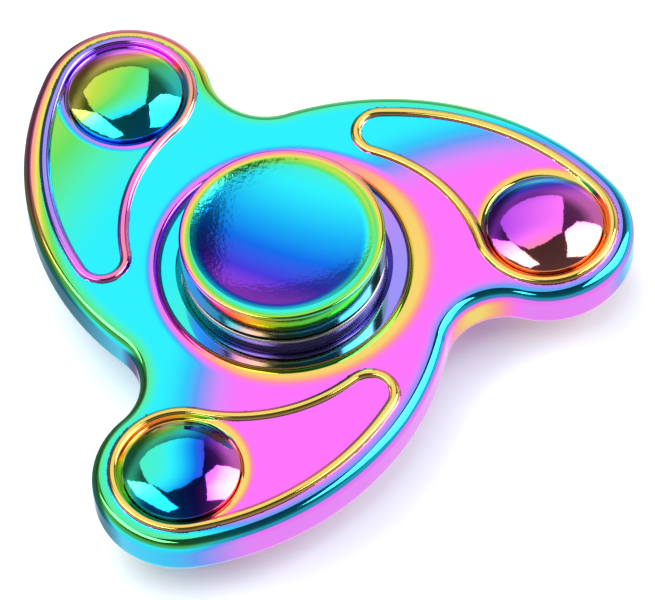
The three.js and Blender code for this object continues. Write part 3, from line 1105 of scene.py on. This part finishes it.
def film_tilt(nodes, normal, to_side, to_front, to_front_cubed):
    """Change of phase with the surface's tilt."""
    parts = nodes.split(normal)
    front = nodes.math("MULTIPLY", parts["Y"], -1)
    curve = nodes.math("MULTIPLY_ADD", nodes.math("MULTIPLY", front, front), to_front_cubed, to_front)
    tilt = nodes.math("MULTIPLY_ADD", front, curve, nodes.math("MULTIPLY", parts["X"], to_side))
    return nodes.math("MINIMUM", nodes.math("MAXIMUM", tilt, TILT_LIMITS[0]), TILT_LIMITS[1])


def rainbow_film(name, phase_over, colours, tilts=None):
    """Mirror metal whose colour follows the film's thickness over the part and round its edges."""
    material = bpy.data.materials.new(name)
    nodes = Nodes(material)
    spot = nodes.add("ShaderNodeTexCoord").outputs
    phase, turned_phase = phase_over(nodes, spot["Object"])
    extra = nodes.add("ShaderNodeAttribute", attribute_name="film")
    phase = nodes.math("ADD", phase, extra.outputs["Fac"])
    if tilts:
        phase = nodes.math("ADD", phase, film_tilt(nodes, spot["Normal"], *tilts))
    turn = nodes.add("ShaderNodeAttribute", attribute_name="film_turned")
    mixed = nodes.add("ShaderNodeMix")
    nodes.give(mixed, {"Factor": turn.outputs["Fac"], "A": phase, "B": turned_phase})
    stops = [(at, linear(colour)) for at, colour in colours.items()]
    roughness, *ripples = FILM_FINISHES[name]
    nodes.relief(spot["Object"], *ripples, RIPPLE_DETAIL)
    nodes.give(nodes.shader, {
        "Base Color": nodes.ramp(nodes.math("FRACT", mixed.outputs[0]), stops),
        "Metallic": 1,
        "Roughness": roughness,
    })
    return material


def steel(name):
    """Bare steel with a fine grain, all over or in rings."""
    colour, roughness, scale, height, in_rings = STEELS[name]
    material = bpy.data.materials.new(name)
    nodes = Nodes(material)
    place = nodes.add("ShaderNodeTexCoord").outputs["Object"]
    if in_rings:
        x, y, z = nodes.split(place)
        squares = [nodes.math("MULTIPLY", part, part) for part in (x, y)]
        ring = nodes.add("ShaderNodeCombineXYZ")
        nodes.give(ring, {"X": nodes.math("SQRT", nodes.math("ADD", *squares)), "Y": z})
        place = ring.outputs[0]
    grain = nodes.relief(place, scale, height, GRAIN_DETAIL)
    tones = [(at, [c * share for c in colour]) for at, share in zip(GRAIN_RANGE, GRAIN_TONES)]
    nodes.give(nodes.shader, {
        "Base Color": nodes.ramp(grain, tones),
        "Metallic": 1,
        "Roughness": nodes.smooth(grain, *GRAIN_RANGE, *roughness),
    })
    return material


# ---- studio

CAMERA_AZIMUTH = math.radians(-4.5)
CAMERA_ELEVATION = math.radians(56.08)
CAMERA_ROLL = math.radians(4.09)
CAMERA_DISTANCE = 700.3
CAMERA_TARGET = (3.9, -5.8, FACE)
CAMERA_LENS = 362.4

# The room's brightness from straight down to straight up, and its dark side: where it lies, and
# the shade from its edge to its middle
ROOM_LIGHT = ((0, 0.95), (0.46, 0.9), (0.5, 0.55), (0.65, 0.5), (0.72, 0.3), (0.79, 0.1), (1, 0.06))
DARK_SIDE = (-0.66, 0.67, -0.35)
DARK_SIDE_SHADE = (0.65, 0.87, 1, 0.15)

# Softboxes hang level, each with a strength and a plan
SOFTBOX_HEIGHT = 600
SOFTBOXES = {
    "overhead_softbox": (1, (
        (-900, 820), (-560, 1050), (-230, 1040), (565, 1150),
        (250, 20), (5, -115), (-250, -160), (-550, 90),
    )),
    "right_softbox": (4, ((305, 27), (574, 253), (2400, 900), (2400, -500), (350, -380))),
    "left_softbox": (3.5, ((-504, 37), (-138, -448), (-358, -515), (-1101, 16), (-1810, 838))),
}
KEY_PLACE = Vector((-100, 100, 600))
KEY_SIZE = 700
KEY_POWER = 5.5

# The floor glows more with distance, so that it stays pale: where that starts and ends, and the
# glow there
FLOOR_REACH = 3000
FLOOR_COLOUR = (0.87, 0.9, 0.97, 1)
FLOOR_GLOW = (0.15, 0.6, 0.1, 1)


def camera():
    a, e = CAMERA_AZIMUTH, CAMERA_ELEVATION
    back = Vector((math.sin(a) * math.cos(e), -math.cos(a) * math.cos(e), math.sin(e)))
    right = Vector((math.cos(a), math.sin(a), 0))
    up = back.cross(right)
    c, s = math.cos(CAMERA_ROLL), math.sin(CAMERA_ROLL)
    axes = Matrix((c * right - s * up, s * right + c * up, back)).transposed()
    data = bpy.data.cameras.new("camera")
    data.lens = CAMERA_LENS
    data.sensor_width = 36
    data.clip_start, data.clip_end = 0.01, 20
    made = bpy.data.objects.new("camera", data)
    place = (Vector(CAMERA_TARGET) + back * CAMERA_DISTANCE) * MM
    made.matrix_world = Matrix.Translation(place) @ axes.to_4x4()
    bpy.context.scene.collection.objects.link(made)
    bpy.context.scene.camera = made


def panel(name, corners, material):
    """A flat panel that isn't part of the object, with its corners in millimetres."""
    mesh = bpy.data.meshes.new(name)
    mesh.from_pydata([[c * MM for c in corner] for corner in corners], [], [range(len(corners))])
    mesh.materials.append(material)
    made = bpy.data.objects.new(name, mesh)
    bpy.context.scene.collection.objects.link(made)
    return made


def softbox(name, strength, plan):
    """A glowing panel that the camera doesn't see itself."""
    material = bpy.data.materials.new(name)
    nodes = Nodes(material, empty=True)
    glow = nodes.add("ShaderNodeEmission")
    nodes.give(glow, {"Color": (1, 1, 1, 1), "Strength": strength})
    nodes.put(glow.outputs[0], nodes.add("ShaderNodeOutputMaterial").inputs[0])
    made = panel(name, [(*corner, SOFTBOX_HEIGHT) for corner in plan], material)
    made.visible_camera = False


def floor():
    material = bpy.data.materials.new("white_paper")
    nodes = Nodes(material)
    away = nodes.vector("LENGTH", nodes.add("ShaderNodeTexCoord").outputs["Object"])
    nodes.give(nodes.shader, {
        "Base Color": FLOOR_COLOUR,
        "Roughness": 0.9,
        "Specular IOR Level": 0.1,
        "Emission Color": (1, 1, 1, 1),
        "Emission Strength": nodes.smooth(away, *FLOOR_GLOW),
    })
    height = cad_box[0][2] / MM
    corners = [(x * FLOOR_REACH, y * FLOOR_REACH, height) for x, y in ((-1, -1), (1, -1), (1, 1), (-1, 1))]
    panel("floor", corners, material).visible_glossy = False


def world():
    """White behind the object. Its reflections and light come from a room with a dark side."""
    made = bpy.data.worlds.new("studio")
    nodes = Nodes(made, empty=True)
    direction = nodes.add("ShaderNodeTexCoord").outputs["Generated"]
    upward = nodes.math("MULTIPLY_ADD", nodes.split(direction)["Z"], 0.5, 0.5)
    toward = nodes.vector("DOT_PRODUCT", direction, DARK_SIDE)
    room = nodes.add("ShaderNodeBackground")
    nodes.give(room, {
        "Color": nodes.ramp(upward, [(at, (light, light, light)) for at, light in ROOM_LIGHT]),
        "Strength": nodes.smooth(toward, *DARK_SIDE_SHADE),
    })
    backdrop = nodes.add("ShaderNodeBackground")
    nodes.give(backdrop, {"Color": (1, 1, 1, 1)})
    mix = nodes.add("ShaderNodeMixShader")
    nodes.put(nodes.add("ShaderNodeLightPath").outputs["Is Camera Ray"], mix.inputs[0])
    nodes.put(room.outputs[0], mix.inputs[1])
    nodes.put(backdrop.outputs[0], mix.inputs[2])
    nodes.put(mix.outputs[0], nodes.add("ShaderNodeOutputWorld").inputs[0])
    bpy.context.scene.world = made


def studio():
    for name, (strength, plan) in SOFTBOXES.items():
        softbox(name, strength, plan)
    lamp = bpy.data.lights.new("key_light", "AREA")
    lamp.size = KEY_SIZE * MM
    lamp.energy = KEY_POWER
    key = bpy.data.objects.new("key_light", lamp)
    key.location = KEY_PLACE * MM
    key.rotation_euler = KEY_PLACE.to_track_quat("Z", "Y").to_euler()
    key.visible_glossy = False
    bpy.context.scene.collection.objects.link(key)
    floor()
    world()
    bpy.context.scene.view_settings.view_transform = "Standard"


main_pieces()
bearing_pieces()
camera()
studio()
